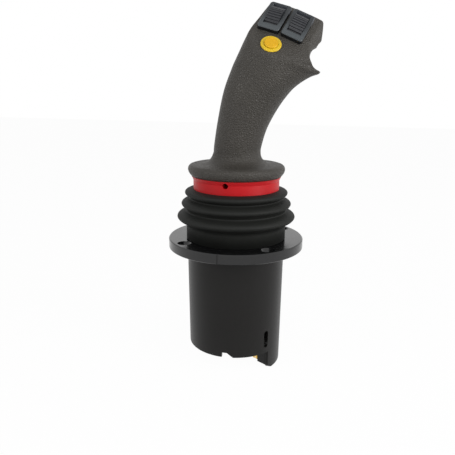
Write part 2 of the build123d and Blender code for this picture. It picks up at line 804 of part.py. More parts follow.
with BuildPart() as grip_body:
    add(grip_outer)
    add(beyond(top_plane, -2 * frame_length), mode=Mode.SUBTRACT)
    add(beyond(flank_plane, 0), mode=Mode.SUBTRACT)
    with BuildSketch(groove_plane):
        for height, out, radius in groove_circles:
            with Locations((height, out)):
                Circle(radius)
    extrude(amount=disc_radius, both=True, mode=Mode.SUBTRACT)
    with BuildSketch(Plane.XZ):
        with BuildLine():
            Polyline(
                (0, collar_top),
                (collar_flare_radius, collar_top),
                (disc_radius, disc_top - disc_round),
                (disc_radius - disc_round * 0.3, disc_top - disc_round * 0.3),
                (disc_radius - disc_round, disc_top),
                (stem_radius + stem_fillet, disc_top),
            )
            ThreePointArc(
                (stem_radius + stem_fillet, disc_top),
                (
                    stem_radius + stem_fillet * (1 - cos(radians(45))),
                    disc_top + stem_fillet * (1 - sin(radians(45))),
                ),
                (stem_radius, disc_top + stem_fillet),
            )
            Polyline(
                (stem_radius, disc_top + stem_fillet),
                (0, disc_top + stem_fillet),
                (0, collar_top),
            )
        make_face()
    revolve(axis=Axis.Z)
    add(thumb_cut, mode=Mode.SUBTRACT)
    add(cavity_form.part, mode=Mode.SUBTRACT)
    # Socket for the lever shaft and bosses for the two upper screws
    with BuildSketch(Plane.XY.offset(cavity_floor - grip_wall)):
        Circle(socket_radius)
    extrude(amount=socket_top - cavity_floor + grip_wall)
    for x, z in grip_screw_places[2:]:
        with BuildSketch(Plane(origin=(x, -grip_boss_front, z), x_dir=(1, 0, 0), z_dir=(0, 1, 0))):
            Circle(grip_boss_radius)
        extrude(amount=grip_boss_front + grip_boss_rear)
    with BuildSketch(Plane.XY.offset(collar_top)):
        Circle(shaft_radius + running_clearance)
    extrude(amount=shaft_top - collar_top, mode=Mode.SUBTRACT)
    with BuildSketch(Plane.XY.offset(shaft_top)):
        Circle(wire_bore_radius)
    extrude(amount=socket_top - shaft_top, mode=Mode.SUBTRACT)
    for x, z in grip_screw_places:
        seat = split_y(z) + grip_seat
        with BuildSketch(Plane(origin=(x, seat, z), x_dir=(1, 0, 0), z_dir=(0, 1, 0))):
            Circle(grip_head_radius + drop_in_clearance)
        extrude(amount=disc_radius, mode=Mode.SUBTRACT)
        with BuildSketch(Plane(origin=(x, seat, z), x_dir=(1, 0, 0), z_dir=(0, 1, 0))):
            Circle(small_screw_radius)
        extrude(amount=-grip_screw_length, mode=Mode.SUBTRACT)
    # Openings in the thumb face
    for place in roller_places:
        with BuildSketch(place.offset(frame_height)):
            Rectangle(frame_hole_width + 2 * assembly_clearance, frame_hole_length + 2 * assembly_clearance)
        extrude(amount=-frame_height - frame_collar_depth - drop_in_clearance, mode=Mode.SUBTRACT)
        with BuildSketch(axle_plane(place, -cheek_outer - drop_in_clearance)):
            Circle(roller_radius + roller_gap)
            with Locations((0, roller_hub_radius * cos(radians(roller_half_angle + roller_travel)))):
                Rectangle(
                    3 * roller_radius, 3 * roller_radius, align=(Align.CENTER, Align.MAX), mode=Mode.SUBTRACT
                )
            Circle(frame_cheek_radius + roller_gap)
            Rectangle(
                2 * (frame_cheek_radius + roller_gap), axle_depth, align=(Align.CENTER, Align.MIN)
            )
        extrude(amount=2 * (cheek_outer + drop_in_clearance), mode=Mode.SUBTRACT)
    with BuildSketch(button_place.offset(frame_height)):
        Circle(button_neck_radius + assembly_clearance)
    extrude(amount=-frame_height - button_body_depth - drop_in_clearance, mode=Mode.SUBTRACT)

with BuildPart() as grip_front_shell:
    add(grip_body.part)
    split(bisect_by=split_plane.offset(-seam / 2), keep=Keep.BOTTOM)
save(grip_front_shell.part, "grip_front_shell")

with BuildPart() as grip_rear_shell:
    add(grip_body.part)
    split(bisect_by=split_plane.offset(seam / 2), keep=Keep.TOP)
save(grip_rear_shell.part, "grip_rear_shell")

with BuildPart() as grip_screws:
    for x, z in grip_screw_places:
        seat = split_y(z) + grip_seat
        with BuildSketch(Plane(origin=(x, seat, z), x_dir=(1, 0, 0), z_dir=(0, 1, 0))):
            Circle(small_screw_radius)
        extrude(amount=-grip_screw_length)
        with BuildSketch(Plane(origin=(x, seat, z), x_dir=(1, 0, 0), z_dir=(0, 1, 0))):
            Circle(grip_head_radius)
        extrude(amount=small_head_height)
save(grip_screws.part, "grip_screws")


def switch_frame(place):
    """Bezel frame of one thumb roller, with a collar in the grip and two cheeks for the axle."""
    with BuildPart() as frame:
        with BuildSketch(place):
            RectangleRounded(frame_width, frame_length, frame_corner)
        extrude(amount=frame_height)
        chamfer(frame.faces().sort_by(Axis(place.origin, place.z_dir))[-1].edges(), frame_edge)
        with BuildSketch(place):
            Rectangle(frame_hole_width, frame_hole_length)
        extrude(amount=-frame_collar_depth)
        with BuildSketch(place.offset(frame_height)):
            with Locations((0, window_middle)):
                Rectangle(window_width, window_length)
        extrude(amount=-frame_height - frame_collar_depth, mode=Mode.SUBTRACT)
        with BuildSketch(axle_plane(place, -window_width / 2)):
            Circle(roller_radius + roller_gap)
        extrude(amount=window_width, mode=Mode.SUBTRACT)
        for start in (-cheek_outer, window_width / 2):
            with BuildSketch(axle_plane(place, start)):
                Circle(frame_cheek_radius)
                Rectangle(
                    2 * frame_cheek_radius,
                    axle_depth - frame_collar_depth / 2,
                    align=(Align.CENTER, Align.MIN),
                )
                Circle(axle_radius, mode=Mode.SUBTRACT)
            extrude(amount=cheek_wall)
    return frame.part


def thumb_roller(place):
    """Grooved sector of a drum on a hub, free to turn on its axle."""
    half = window_width / 2 - roller_gap
    wedge = 2 * roller_radius
    with BuildPart() as roller:
        with BuildSketch(axle_plane(place, -half)):
            Circle(roller_radius)
            with BuildLine():
                Polyline(
                    (0, 0),
                    (wedge * sin(radians(roller_half_angle)), wedge * cos(radians(roller_half_angle))),
                    (0, wedge),
                    (-wedge * sin(radians(roller_half_angle)), wedge * cos(radians(roller_half_angle))),
                    close=True,
                )
            make_face(mode=Mode.INTERSECT)
            first = 90 - roller_groove_step * (roller_groove_count - 1) / 2
            with PolarLocations(
                roller_radius + roller_groove_radius / 3,
                roller_groove_count,
                start_angle=first,
                angular_range=roller_groove_step * (roller_groove_count - 1),
                endpoint=True,
            ):
                Circle(roller_groove_radius, mode=Mode.SUBTRACT)
            Circle(roller_hub_radius)
            Circle(axle_radius + running_clearance, mode=Mode.SUBTRACT)
        extrude(amount=2 * half)
    return roller.part


left_switch_frame, right_switch_frame = [switch_frame(place) for place in roller_places]
save(left_switch_frame, "left_switch_frame")
save(right_switch_frame, "right_switch_frame")
left_thumb_roller, right_thumb_roller = [thumb_roller(place) for place in roller_places]
save(left_thumb_roller, "left_thumb_roller")
save(right_thumb_roller, "right_thumb_roller")

with BuildPart() as roller_axles:
    for place in roller_places:
        with BuildSketch(axle_plane(place, -cheek_outer)):
            Circle(axle_radius)
        extrude(amount=2 * cheek_outer)
save(roller_axles.part, "roller_axles")

# Thumb button: fixed ring and switch body, sprung cap
with BuildPart() as thumb_button_ring:
    with BuildSketch(button_place):
        Circle(button_ring_radius)
    extrude(amount=button_ring_height)
    fillet(thumb_button_ring.edges().sort_by(Axis(button_place.origin, button_place.z_dir))[-1:], button_edge)
    with BuildSketch(button_place.offset(button_body_top)):
        Circle(button_neck_radius)
    extrude(amount=-button_body_top)
    with BuildSketch(button_place.offset(button_body_top)):
        Circle(button_cap_radius + drop_in_clearance)
    extrude(amount=button_ring_height - button_body_top, mode=Mode.SUBTRACT)
save(thumb_button_ring.part, "thumb_button_ring")

with BuildPart() as thumb_button_body:
    with BuildSketch(button_place.offset(-button_body_depth)):
        Circle(button_neck_radius)
    extrude(amount=button_body_depth + button_body_top)
    with BuildSketch(button_place.offset(button_body_top)):
        Circle(button_stem_radius + running_clearance)
    extrude(amount=-button_bore_depth - button_body_top, mode=Mode.SUBTRACT)
save(thumb_button_body.part, "thumb_button_body")

with BuildPart() as thumb_button_cap:
    with BuildSketch(button_place.offset(button_cap_base)):
        Circle(button_cap_radius)
    extrude(amount=button_cap_top - button_cap_base)
    fillet(thumb_button_cap.edges().sort_by(Axis(button_place.origin, button_place.z_dir))[-1:], button_edge)
    with BuildSketch(button_place.offset(button_cap_base)):
        Circle(button_stem_radius)
    extrude(amount=-button_stem_depth - button_cap_base)
save(thumb_button_cap.part, "thumb_button_cap")

button_coil_turns = 2.5
button_coil_room = button_bore_depth - button_stem_depth
button_coil_start = -button_bore_depth + (button_coil_room - button_coil_turns * spring_pitch) / 2
thumb_button_spring = coil(button_place, button_coil_start, button_coil_turns, button_coil_radius)
save(thumb_button_spring, "thumb_button_spring")
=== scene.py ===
"""Looks of the panel joystick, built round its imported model. Metres, in the same frame as the part."""
import bpy
import bmesh
from math import cos, pi, radians, sin
from mathutils import Matrix, Vector


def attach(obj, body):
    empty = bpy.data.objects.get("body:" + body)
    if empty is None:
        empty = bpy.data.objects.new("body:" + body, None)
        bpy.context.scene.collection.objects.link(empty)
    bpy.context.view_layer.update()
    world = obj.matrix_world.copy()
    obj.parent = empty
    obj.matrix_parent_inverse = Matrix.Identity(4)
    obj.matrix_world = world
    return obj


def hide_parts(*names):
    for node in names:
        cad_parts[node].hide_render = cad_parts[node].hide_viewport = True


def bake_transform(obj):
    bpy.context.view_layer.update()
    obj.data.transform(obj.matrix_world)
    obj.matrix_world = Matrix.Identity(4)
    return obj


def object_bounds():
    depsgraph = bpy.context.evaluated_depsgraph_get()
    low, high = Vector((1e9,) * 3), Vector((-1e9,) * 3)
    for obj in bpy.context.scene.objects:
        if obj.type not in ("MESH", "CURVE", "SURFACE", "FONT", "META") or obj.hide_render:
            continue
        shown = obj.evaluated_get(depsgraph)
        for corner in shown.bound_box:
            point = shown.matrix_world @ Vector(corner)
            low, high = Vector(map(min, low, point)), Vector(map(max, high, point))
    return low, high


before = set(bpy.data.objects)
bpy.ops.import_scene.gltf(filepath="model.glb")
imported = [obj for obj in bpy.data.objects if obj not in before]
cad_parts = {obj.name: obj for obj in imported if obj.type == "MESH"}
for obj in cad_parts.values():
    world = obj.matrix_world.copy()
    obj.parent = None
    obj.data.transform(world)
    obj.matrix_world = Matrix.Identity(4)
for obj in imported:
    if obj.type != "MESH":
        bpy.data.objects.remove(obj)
cad_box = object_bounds()
mm = 0.001

# Mounting flange: a disc turned from aluminium bar, chamfered, and hard black anodised to a gloss.
# Four countersunk screws hold it on the panel, and everything else hangs from it.


def linear(code):
    """Linear colour of an sRGB hex code."""
    parts = [int(code[start:start + 2], 16) / 255 for start in (1, 3, 5)]
    return tuple(c / 12.92 if c <= 0.04045 else ((c + 0.055) / 1.055) ** 2.4 for c in parts) + (1.0,)


def add(tree, kind, inputs=None, **settings):
    """One node with its settings; inputs take a socket to link or a value to hold."""
    node = tree.nodes.new(kind)
    for name, value in settings.items():
        setattr(node, name, value)
    for key, value in (inputs or {}).items():
        if isinstance(value, bpy.types.NodeSocket):
            tree.links.new(value, node.inputs[key])
        else:
            node.inputs[key].default_value = value
    return node


def begin(name):
    """Empty material, its node tree and its Object coordinates."""
    material = bpy.data.materials.new(name)
    material.use_nodes = True
    material.node_tree.nodes.clear()
    place = add(material.node_tree, "ShaderNodeTexCoord").outputs["Object"]
    return material, material.node_tree, place


def per_metre(size):
    """Texture scale that gives features of a size in millimetres."""
    return 1 / (size * mm)


def dress(material, *names):
    """Give CAD nodes their finish."""
    for name in names:
        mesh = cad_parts[name].data
        mesh.materials.clear()
        mesh.materials.append(material)


# Black anodised aluminium: a thin clear oxide over near-black metal, so it mirrors at low angles,
# and the turning tool leaves faint rings. The rings are drawn 0.5 mm apart to show at all.
flange_finish, tree, place = begin("black_anodised_aluminium")
flat_place = add(tree, "ShaderNodeVectorMath", {0: place, 1: (1, 1, 0)}, operation="MULTIPLY")
reach = add(tree, "ShaderNodeVectorMath", {0: flat_place.outputs[0]}, operation="LENGTH")
rings = add(tree, "ShaderNodeTexNoise", {"W": reach.outputs["Value"], "Scale": per_metre(0.5),
                                         "Detail": 2.0}, noise_dimensions="1D")
smears = add(tree, "ShaderNodeTexNoise", {"Vector": place, "Scale": per_metre(18), "Detail": 3.0})
gloss = add(tree, "ShaderNodeMapRange", {"Value": smears.outputs["Fac"], "From Min": 0.3, "From Max": 0.7,
                                         "To Min": 0.14, "To Max": 0.22})
lathe_bump = add(tree, "ShaderNodeBump", {"Height": rings.outputs["Fac"], "Distance": 0.002 * mm})
shader = add(tree, "ShaderNodeBsdfPrincipled", {"Base Color": linear("#0d0d0e"),
                                                "Roughness": gloss.outputs[0],
                                                "Specular IOR Level": 0.5, "Normal": lathe_bump.outputs[0]})
add(tree, "ShaderNodeOutputMaterial", {"Surface": shader.outputs[0]})
dress(flange_finish, "mounting_flange")

# Body shell: a drafted tube moulded in glass-filled nylon, with a cable tongue and two tie slots.
# It hangs from the boss under the flange and shuts off the gimbal and the electronics.

# Glass-filled nylon: satin black with the fibres just under the skin, which mottle the gloss.
shell_finish, tree, place = begin("glass_filled_nylon")
fibres = add(tree, "ShaderNodeTexNoise", {"Vector": place, "Scale": per_metre(1.2), "Detail": 4.0})
flow = add(tree, "ShaderNodeTexNoise", {"Vector": place, "Scale": per_metre(26), "Detail": 2.0})
gloss = add(tree, "ShaderNodeMapRange", {"Value": fibres.outputs["Fac"], "From Min": 0.3, "From Max": 0.7,
                                         "To Min": 0.34, "To Max": 0.42})
tone = add(tree, "ShaderNodeMix", {"Factor": flow.outputs["Fac"], "A": linear("#0f0e0d"),
                                   "B": linear("#151413")}, data_type="RGBA")
skin = add(tree, "ShaderNodeBump", {"Height": fibres.outputs["Fac"], "Distance": 0.012 * mm})
shader = add(tree, "ShaderNodeBsdfPrincipled", {"Base Color": tone.outputs["Result"],
                                                "Roughness": gloss.outputs[0],
                                                "Specular IOR Level": 0.2, "Normal": skin.outputs[0]})
add(tree, "ShaderNodeOutputMaterial", {"Surface": shader.outputs[0]})
dress(shell_finish, "body_shell", "base_plate")

# Gimbal: a yoke and a square ring milled from aluminium, pinned to each other and to the lever.
# It hangs below the flange and lets the lever tilt both ways.

# Machined aluminium: bright bare metal with fine cutter lines, drawn 0.6 mm apart.
alloy_finish, tree, place = begin("machined_aluminium")
cutter = add(tree, "ShaderNodeTexNoise", {"Vector": place, "Scale": per_metre(0.6), "Detail": 2.0})
gloss = add(tree, "ShaderNodeMapRange", {"Value": cutter.outputs["Fac"], "To Min": 0.24, "To Max": 0.4})
shader = add(tree, "ShaderNodeBsdfPrincipled", {"Base Color": linear("#c9cacb"), "Metallic": 1.0,
                                                "Roughness": gloss.outputs[0]})
add(tree, "ShaderNodeOutputMaterial", {"Surface": shader.outputs[0]})
dress(alloy_finish, "gimbal_yoke", "gimbal_ring", "board_standoffs")

# Sintered bronze: porous and oiled, brown-gold with dark pores about 0.4 mm apart.
bronze_finish, tree, place = begin("sintered_bronze")
pores = add(tree, "ShaderNodeTexVoronoi", {"Vector": place, "Scale": per_metre(0.4)})
tone = add(tree, "ShaderNodeMix", {"Factor": pores.outputs["Distance"], "A": linear("#6d4a22"),
                                   "B": linear("#b98a4a")}, data_type="RGBA")
shader = add(tree, "ShaderNodeBsdfPrincipled", {"Base Color": tone.outputs["Result"], "Metallic": 1.0,
                                                "Roughness": 0.42})
add(tree, "ShaderNodeOutputMaterial", {"Surface": shader.outputs[0]})
dress(bronze_finish, "yoke_bushes", "gimbal_bushes")

# Lever: a turned steel shaft, drilled for the wires, on a ground cross pin, with return springs
# on both axes and the screws that hold the inner pieces.

# Turned steel: bright, with a slight tool mark that varies its gloss.
steel_finish, tree, place = begin("turned_steel")
marks = add(tree, "ShaderNodeTexNoise", {"Vector": place, "Scale": per_metre(0.8), "Detail": 3.0})
gloss = add(tree, "ShaderNodeMapRange", {"Value": marks.outputs["Fac"], "To Min": 0.2, "To Max": 0.38})
shader = add(tree, "ShaderNodeBsdfPrincipled", {"Base Color": linear("#b9babb"), "Metallic": 1.0,
                                                "Roughness": gloss.outputs[0]})
add(tree, "ShaderNodeOutputMaterial", {"Surface": shader.outputs[0]})
dress(steel_finish, "lever_shaft", "cross_pin", "gimbal_pins", "roller_axles", "tie_bolts", "yoke_screws",
      "board_screws", "sensor_magnet", "fore_aft_springs", "side_springs", "thumb_button_spring")

# Sensor board: a round glass-epoxy board on four standoffs over the base plate, with the sensor
# chip under the magnet that the lever swings.

# Solder resist: a green film over the copper, darker where there is none beneath.
board_finish, tree, place = begin("solder_resist")
copper = add(tree, "ShaderNodeTexVoronoi", {"Vector": place, "Scale": per_metre(3)}, distance="MANHATTAN")
tone = add(tree, "ShaderNodeMix", {"Factor": copper.outputs["Distance"], "A": linear("#1d6b3c"),
                                   "B": linear("#124727")}, data_type="RGBA")
shader = add(tree, "ShaderNodeBsdfPrincipled", {"Base Color": tone.outputs["Result"], "Roughness": 0.3})
add(tree, "ShaderNodeOutputMaterial", {"Surface": shader.outputs[0]})
dress(board_finish, "sensor_board")

# Black ABS: plain moulded switch and sensor bodies with a faint spark-eroded grain of 0.5 mm.
black_finish, tree, place = begin("black_abs")
spark = add(tree, "ShaderNodeTexNoise", {"Vector": place, "Scale": per_metre(0.5), "Detail": 3.0})
skin = add(tree, "ShaderNodeBump", {"Height": spark.outputs["Fac"], "Distance": 0.01 * mm})
shader = add(tree, "ShaderNodeBsdfPrincipled", {"Base Color": linear("#17171a"), "Roughness": 0.5,
                                                "Normal": skin.outputs[0]})
add(tree, "ShaderNodeOutputMaterial", {"Surface": shader.outputs[0]})
dress(black_finish, "hall_sensor", "magnet_holder", "thumb_button_body")

# Connector: a white nylon header on the base plate with a row of stamped brass blades.
# Its corner shows under the rim of the shell, beside the tongue.

# Natural nylon: milky white, slightly yellow in patches, and soft in its gloss.
nylon_finish, tree, place = begin("natural_nylon")
patches = add(tree, "ShaderNodeTexNoise", {"Vector": place, "Scale": per_metre(4), "Detail": 2.0})
tone = add(tree, "ShaderNodeMix", {"Factor": patches.outputs["Fac"], "A": linear("#e6e2d4"),
                                   "B": linear("#d3cdb9")}, data_type="RGBA")
shader = add(tree, "ShaderNodeBsdfPrincipled", {"Base Color": tone.outputs["Result"], "Roughness": 0.42})
add(tree, "ShaderNodeOutputMaterial", {"Surface": shader.outputs[0]})
dress(nylon_finish, "connector_housing")

# Stamped brass: rolled strip, so it is bright with streaks along the blade.
brass_finish, tree, place = begin("stamped_brass")
streaks = add(tree, "ShaderNodeTexNoise", {"Vector": place, "Scale": per_metre(0.7), "Detail": 2.0})
gloss = add(tree, "ShaderNodeMapRange", {"Value": streaks.outputs["Fac"], "To Min": 0.2, "To Max": 0.4})
shader = add(tree, "ShaderNodeBsdfPrincipled", {"Base Color": linear("#d8b25c"), "Metallic": 1.0,
                                                "Roughness": gloss.outputs[0]})
add(tree, "ShaderNodeOutputMaterial", {"Surface": shader.outputs[0]})
dress(brass_finish, "connector_terminals")

# Rubber boot: one moulded bellows of neoprene with a plain cuff and three folds. The cuff is
# stretched over the flange's seat, and the neck sits in the collar. It is two lathe pieces that
# meet in the lowest valley.
cuff = [(38.6, 7.35), (38.6, 16.6)]
fold_line = [(39.2, 18.6), (41.6, 20.3), (44.4, 22.0), (45.65, 24.0), (44.5, 26.1), (41.2, 27.5),
             (39.2, 28.3), (38.6, 29.2), (39.0, 30.0), (40.2, 31.4), (41.7, 32.6), (42.35, 34.0),
             (41.6, 35.5), (39.2, 36.8), (36.6, 37.7), (35.8, 38.6), (36.6, 39.5), (38.6, 40.8),
             (39.6, 42.4), (38.9, 43.9), (36.6, 44.8), (33.4, 45.3)]
neck = [(31.6, 45.6), (30.5, 46.4), (30.5, 48.2)]
boot_wall = 1.6
boot_steps = 128
seam_height = 29.2


def smooth_line(points, fine=6):
    """Catmull-Rom points through a profile."""
    line = []
    for k in range(len(points) - 1):
        p0, p1 = points[max(k - 1, 0)], points[k]
        p2, p3 = points[k + 1], points[min(k + 2, len(points) - 1)]
        for step in range(fine):
            t = step / fine
            line.append(tuple(
                0.5 * (2 * b + (c - a) * t + (2 * a - 5 * b + 4 * c - d) * t * t
                       + (3 * b - a - 3 * c + d) * t ** 3)
                for a, b, c, d in zip(p0, p1, p2, p3)))
    return line + [points[-1]]


def lathe(name, line, steps):
    """Closed-round surface of a radius and height line, in millimetres, facing outwards."""
    form = bmesh.new()
    rings = [[form.verts.new((r * mm * cos(2 * pi * s / steps), r * mm * sin(2 * pi * s / steps), z * mm))
              for s in range(steps)] for r, z in line]
    for low, high in zip(rings, rings[1:]):
        for s in range(steps):
            face = form.faces.new((low[s], low[(s + 1) % steps], high[(s + 1) % steps], high[s]))
            face.smooth = True
    mesh = bpy.data.meshes.new(name)
    form.to_mesh(mesh)
    form.free()
    piece = bpy.data.objects.new(name, mesh)
    bpy.context.scene.collection.objects.link(piece)
    return piece


boot_line = cuff + smooth_line(fold_line) + neck
below = [p for p in boot_line if p[1] <= seam_height]
above = [p for p in boot_line if p[1] >= seam_height]
boot_lower = lathe("boot_lower", below, boot_steps)
boot_upper = lathe("boot_upper", above, boot_steps)

# Neoprene: matte black with a dry grey bloom where the folds are handled, over a fine mould grain.
boot_finish, tree, place = begin("moulded_neoprene")
bloom = add(tree, "ShaderNodeTexNoise", {"Vector": place, "Scale": per_metre(14), "Detail": 5.0})
grain = add(tree, "ShaderNodeTexNoise", {"Vector": place, "Scale": per_metre(0.7), "Detail": 2.0})
tone = add(tree, "ShaderNodeMix", {"Factor": bloom.outputs["Fac"], "A": linear("#0f100e"),
                                   "B": linear("#181917")}, data_type="RGBA")
skin = add(tree, "ShaderNodeBump", {"Height": grain.outputs["Fac"], "Distance": 0.02 * mm})
shader = add(tree, "ShaderNodeBsdfPrincipled", {"Base Color": tone.outputs["Result"], "Roughness": 0.66,
                                                "Specular IOR Level": 0.18, "Normal": skin.outputs[0]})
add(tree, "ShaderNodeOutputMaterial", {"Surface": shader.outputs[0]})
for piece in (boot_lower, boot_upper):
    wall = piece.modifiers.new("wall", "SOLIDIFY")
    wall.thickness = boot_wall * mm
    wall.offset = -1
    piece.data.materials.append(boot_finish)
    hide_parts("rubber_boot")
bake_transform(boot_lower)
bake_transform(boot_upper)

# Collar: a red anodised aluminium ring clamped on the shaft under the grip by three set screws.
# Its pocket holds the boot's neck, and its rim flares out to the grip's disc.

# Red anodised aluminium: the dye sits in the oxide, so the red is deep and even with a satin sheen.
collar_finish, tree, place = begin("red_anodised_aluminium")
blast = add(tree, "ShaderNodeTexNoise", {"Vector": place, "Scale": per_metre(0.6), "Detail": 3.0})
depth = add(tree, "ShaderNodeTexNoise", {"Vector": place, "Scale": per_metre(20), "Detail": 2.0})
tone = add(tree, "ShaderNodeMix", {"Factor": depth.outputs["Fac"], "A": linear("#a00810"),
                                   "B": linear("#aa0e15")}, data_type="RGBA")
skin = add(tree, "ShaderNodeBump", {"Height": blast.outputs["Fac"], "Distance": 0.008 * mm})
shader = add(tree, "ShaderNodeBsdfPrincipled", {"Base Color": tone.outputs["Result"], "Roughness": 0.42,
                                                "Specular IOR Level": 0.22, "Normal": skin.outputs[0]})
add(tree, "ShaderNodeOutputMaterial", {"Surface": shader.outputs[0]})
dress(collar_finish, "grip_collar")

# Black oxide: the dull dark film on the set screws and the grip screws, worn brighter in patches.
screw_finish, tree, place = begin("black_oxide_steel")
wear = add(tree, "ShaderNodeTexNoise", {"Vector": place, "Scale": per_metre(1.5), "Detail": 3.0})
gloss = add(tree, "ShaderNodeMapRange", {"Value": wear.outputs["Fac"], "To Min": 0.3, "To Max": 0.5})
shader = add(tree, "ShaderNodeBsdfPrincipled", {"Base Color": linear("#29292b"), "Metallic": 1.0,
                                                "Roughness": gloss.outputs[0]})
add(tree, "ShaderNodeOutputMaterial", {"Surface": shader.outputs[0]})
dress(screw_finish, "collar_set_screws", "grip_screws")

# Hand grip: two moulded shells screwed together from the rear round the shaft, with a disc at the
# foot, a hook under the index finger and a slanting face for the thumb. It is one surface of rings
# along a bent spine, pressed softly against the flats of the head so that its creases are round.
head_tilt = 20
head_lean = radians(head_tilt)
head_centre = Vector((33, 0, 155))
lean_x = Vector((cos(head_lean), 0, -sin(head_lean)))
lean_z = Vector((sin(head_lean), 0, cos(head_lean)))
# The foot as radius and height. The stem's sections as place and tilt, the head's as height along its
# lean, then for both the reach left, right, front and rear and the squareness on the left and right.
foot_line = [(0, 55.4), (33.6, 55.4), (34.4, 55.6), (35.6, 56.9), (36.6, 58.5), (37.05, 60.2),
             (36.95, 61.5), (36.4, 62.7), (35.4, 63.6), (34.0, 64.05), (31.5, 64.2), (28.5, 64.35),
             (25.8, 64.7), (23.4, 65.4), (21.4, 66.5), (19.8, 68.0), (18.7, 69.9)]
spine_stations = [(0.4, 72.5, 2, 17.85, 17.85, 18.4, 18.4, 2, 2),
                  (0.85, 78.7, 4, 17.7, 17.8, 18.8, 18.8, 2, 2),
                  (4.35, 94.4, 8, 18.5, 18.7, 19.7, 20.3, 2.1, 2.1),
                  (10.8, 112.5, 15, 20.8, 21.0, 20.8, 21.5, 2.3, 2.2)]
head_stations = [(-32.6, 27.0, 18.6, 21.2, 22.5, 2.4, 2.05), (-25, 26.3, 22.9, 21.4, 22.9, 2.45, 1.85),
                 (-18.2, 25.5, 28.5, 21.5, 23.3, 2.5, 1.6), (-14.2, 25.0, 33.2, 21.6, 23.5, 2.6, 1.5),
                 (-11, 24.6, 33.0, 21.6, 23.7, 2.6, 1.5), (-6, 23.8, 33.0, 21.7, 24, 2.7, 1.6),
                 (0, 22.8, 32.0, 21.8, 24, 2.8, 1.9), (6.6, 21.7, 29.8, 21.8, 24, 2.9, 2.6),
                 (14.5, 21.0, 27.6, 21.6, 23.6, 3.1, 3), (20.5, 20.9, 25.8, 21.2, 22.8, 3.1, 3.1),
                 (27, 20.4, 24, 20.6, 21.8, 3.1, 3.1)]
face_normal = (lean_z - Vector((0, 1, 0))).normalized()
face_up = (lean_z + Vector((0, 1, 0))).normalized()
face_low = head_centre - 2.0 * lean_x - 13.5 * lean_z + Vector((0, -21.6, 0))
crown_radius = 95
face_soft, low_soft, low_span = 1.2, 1.6, 14
# The flank beside the rollers and the top of the head, each as turn, place and softness of its edge
flank_turn, flank_reach, flank_soft = radians(64), 20.4, 1.6
flank_start, flank_fade = -9, 13
top_turn, top_height, top_depth, top_soft = radians(25), 21.4, 13.3, 1.0
# The finger groove as two cylinders, each with height, reach and radius, that lie across the hook
groove_turn, groove_soft = radians(14), 0.9
groove_cylinders = ((140.3, 58.5, 8.1), (143.4, 66.8, 11.4))
grip_steps, section_steps, crest_steps = 192, 14, 20
grip_crease = radians(38)


def press(depth, soft):
    """How far to push a point back that lies this deep past a limit, with a soft start."""
    if depth <= -soft:
        return 0.0
    return depth if depth >= soft else (depth + soft) ** 2 / (4 * soft)


def grip_ring(x, z, tilt, left, right, front, rear, left_power, right_power, scale=1.0):
    """Points of one ring: a superellipse with its own reach each way, cut back by the finger groove."""
    centre = Vector((x, 0, z))
    side = Vector((cos(radians(tilt)), 0, -sin(radians(tilt))))
    points = []
    for step in range(grip_steps):
        turn = 2 * pi * step / grip_steps
        across, power = (right, right_power) if cos(turn) > 0 else (left, left_power)
        along = rear if sin(turn) > 0 else front
        reach = (abs(cos(turn) / across) ** power + abs(sin(turn) / along) ** power) ** (-1 / power)
        way = side * cos(turn) + Vector((0, sin(turn), 0))
        for height, out, radius in groove_cylinders:
            start = (centre.x * cos(groove_turn) - out, centre.z - height)
            run = (way.x * cos(groove_turn) + way.y * sin(groove_turn), way.z)
            a = run[0] ** 2 + run[1] ** 2
            b = start[0] * run[0] + start[1] * run[1]
            inside = b * b - a * (start[0] ** 2 + start[1] ** 2 - radius ** 2)
            if inside > 0 and b < 0:
                reach -= press(reach - (-b - inside ** 0.5) / a, groove_soft)
        points.append(centre + way * reach * scale)
    return points


def flatten(point):
    """Point pressed back to the flank beside the rollers, the top of the head and the thumb face."""
    flank_normal = face_normal * cos(flank_turn) + lean_x * sin(flank_turn)
    up = (point - face_low).dot(face_up)
    fade = min(max(((point - head_centre).dot(lean_z) - flank_start) / flank_fade, 0), 1)
    past = (point - face_low - flank_reach * lean_x).dot(flank_normal)
    point = point - flank_normal * press(past, flank_soft) * fade
    top_normal = lean_z * cos(top_turn) + Vector((0, sin(top_turn), 0))
    past = (point - head_centre - top_height * lean_z - Vector((0, top_depth, 0))).dot(top_normal)
    point = point - top_normal * press(past, top_soft)
    axis = face_low - face_normal * crown_radius
    arm = point - axis
    arm = arm - face_up * arm.dot(face_up)
    if arm.dot(face_normal) > 0:
        soft = face_soft + low_soft * min(max((low_span - up) / low_span, 0), 1)
        point = point - arm.normalized() * press(arm.length - crown_radius, soft)
    return point


rings = [grip_ring(0, z, 0, r, r, r, r, 2, 2) for r, z in foot_line[1:]]
stations = spine_stations + [(*(head_centre + lean_z * s[0]).xz, head_tilt) + s[1:] for s in head_stations]
for station in smooth_line(stations, section_steps):
    rings.append([flatten(point) for point in grip_ring(*station)])
for step in range(1, crest_steps):
    rings.append([flatten(point) for point in grip_ring(*stations[-1], scale=1 - step / crest_steps)])
form = bmesh.new()
corners = [[form.verts.new(point * mm) for point in ring] for ring in rings]
foot = form.verts.new((0, 0, foot_line[0][1] * mm))
crest = form.verts.new(flatten(Vector((stations[-1][0], 0, stations[-1][1]))) * mm)
for s in range(grip_steps):
    t = (s + 1) % grip_steps
    form.faces.new((foot, corners[0][t], corners[0][s]))
    form.faces.new((corners[-1][s], corners[-1][t], crest))
    for low, high in zip(corners, corners[1:]):
        form.faces.new((low[s], low[t], high[t], high[s]))
grip_mesh = bpy.data.meshes.new("grip")
form.to_mesh(grip_mesh)
form.free()
grip = bpy.data.objects.new("grip", grip_mesh)
bpy.context.scene.collection.objects.link(grip)


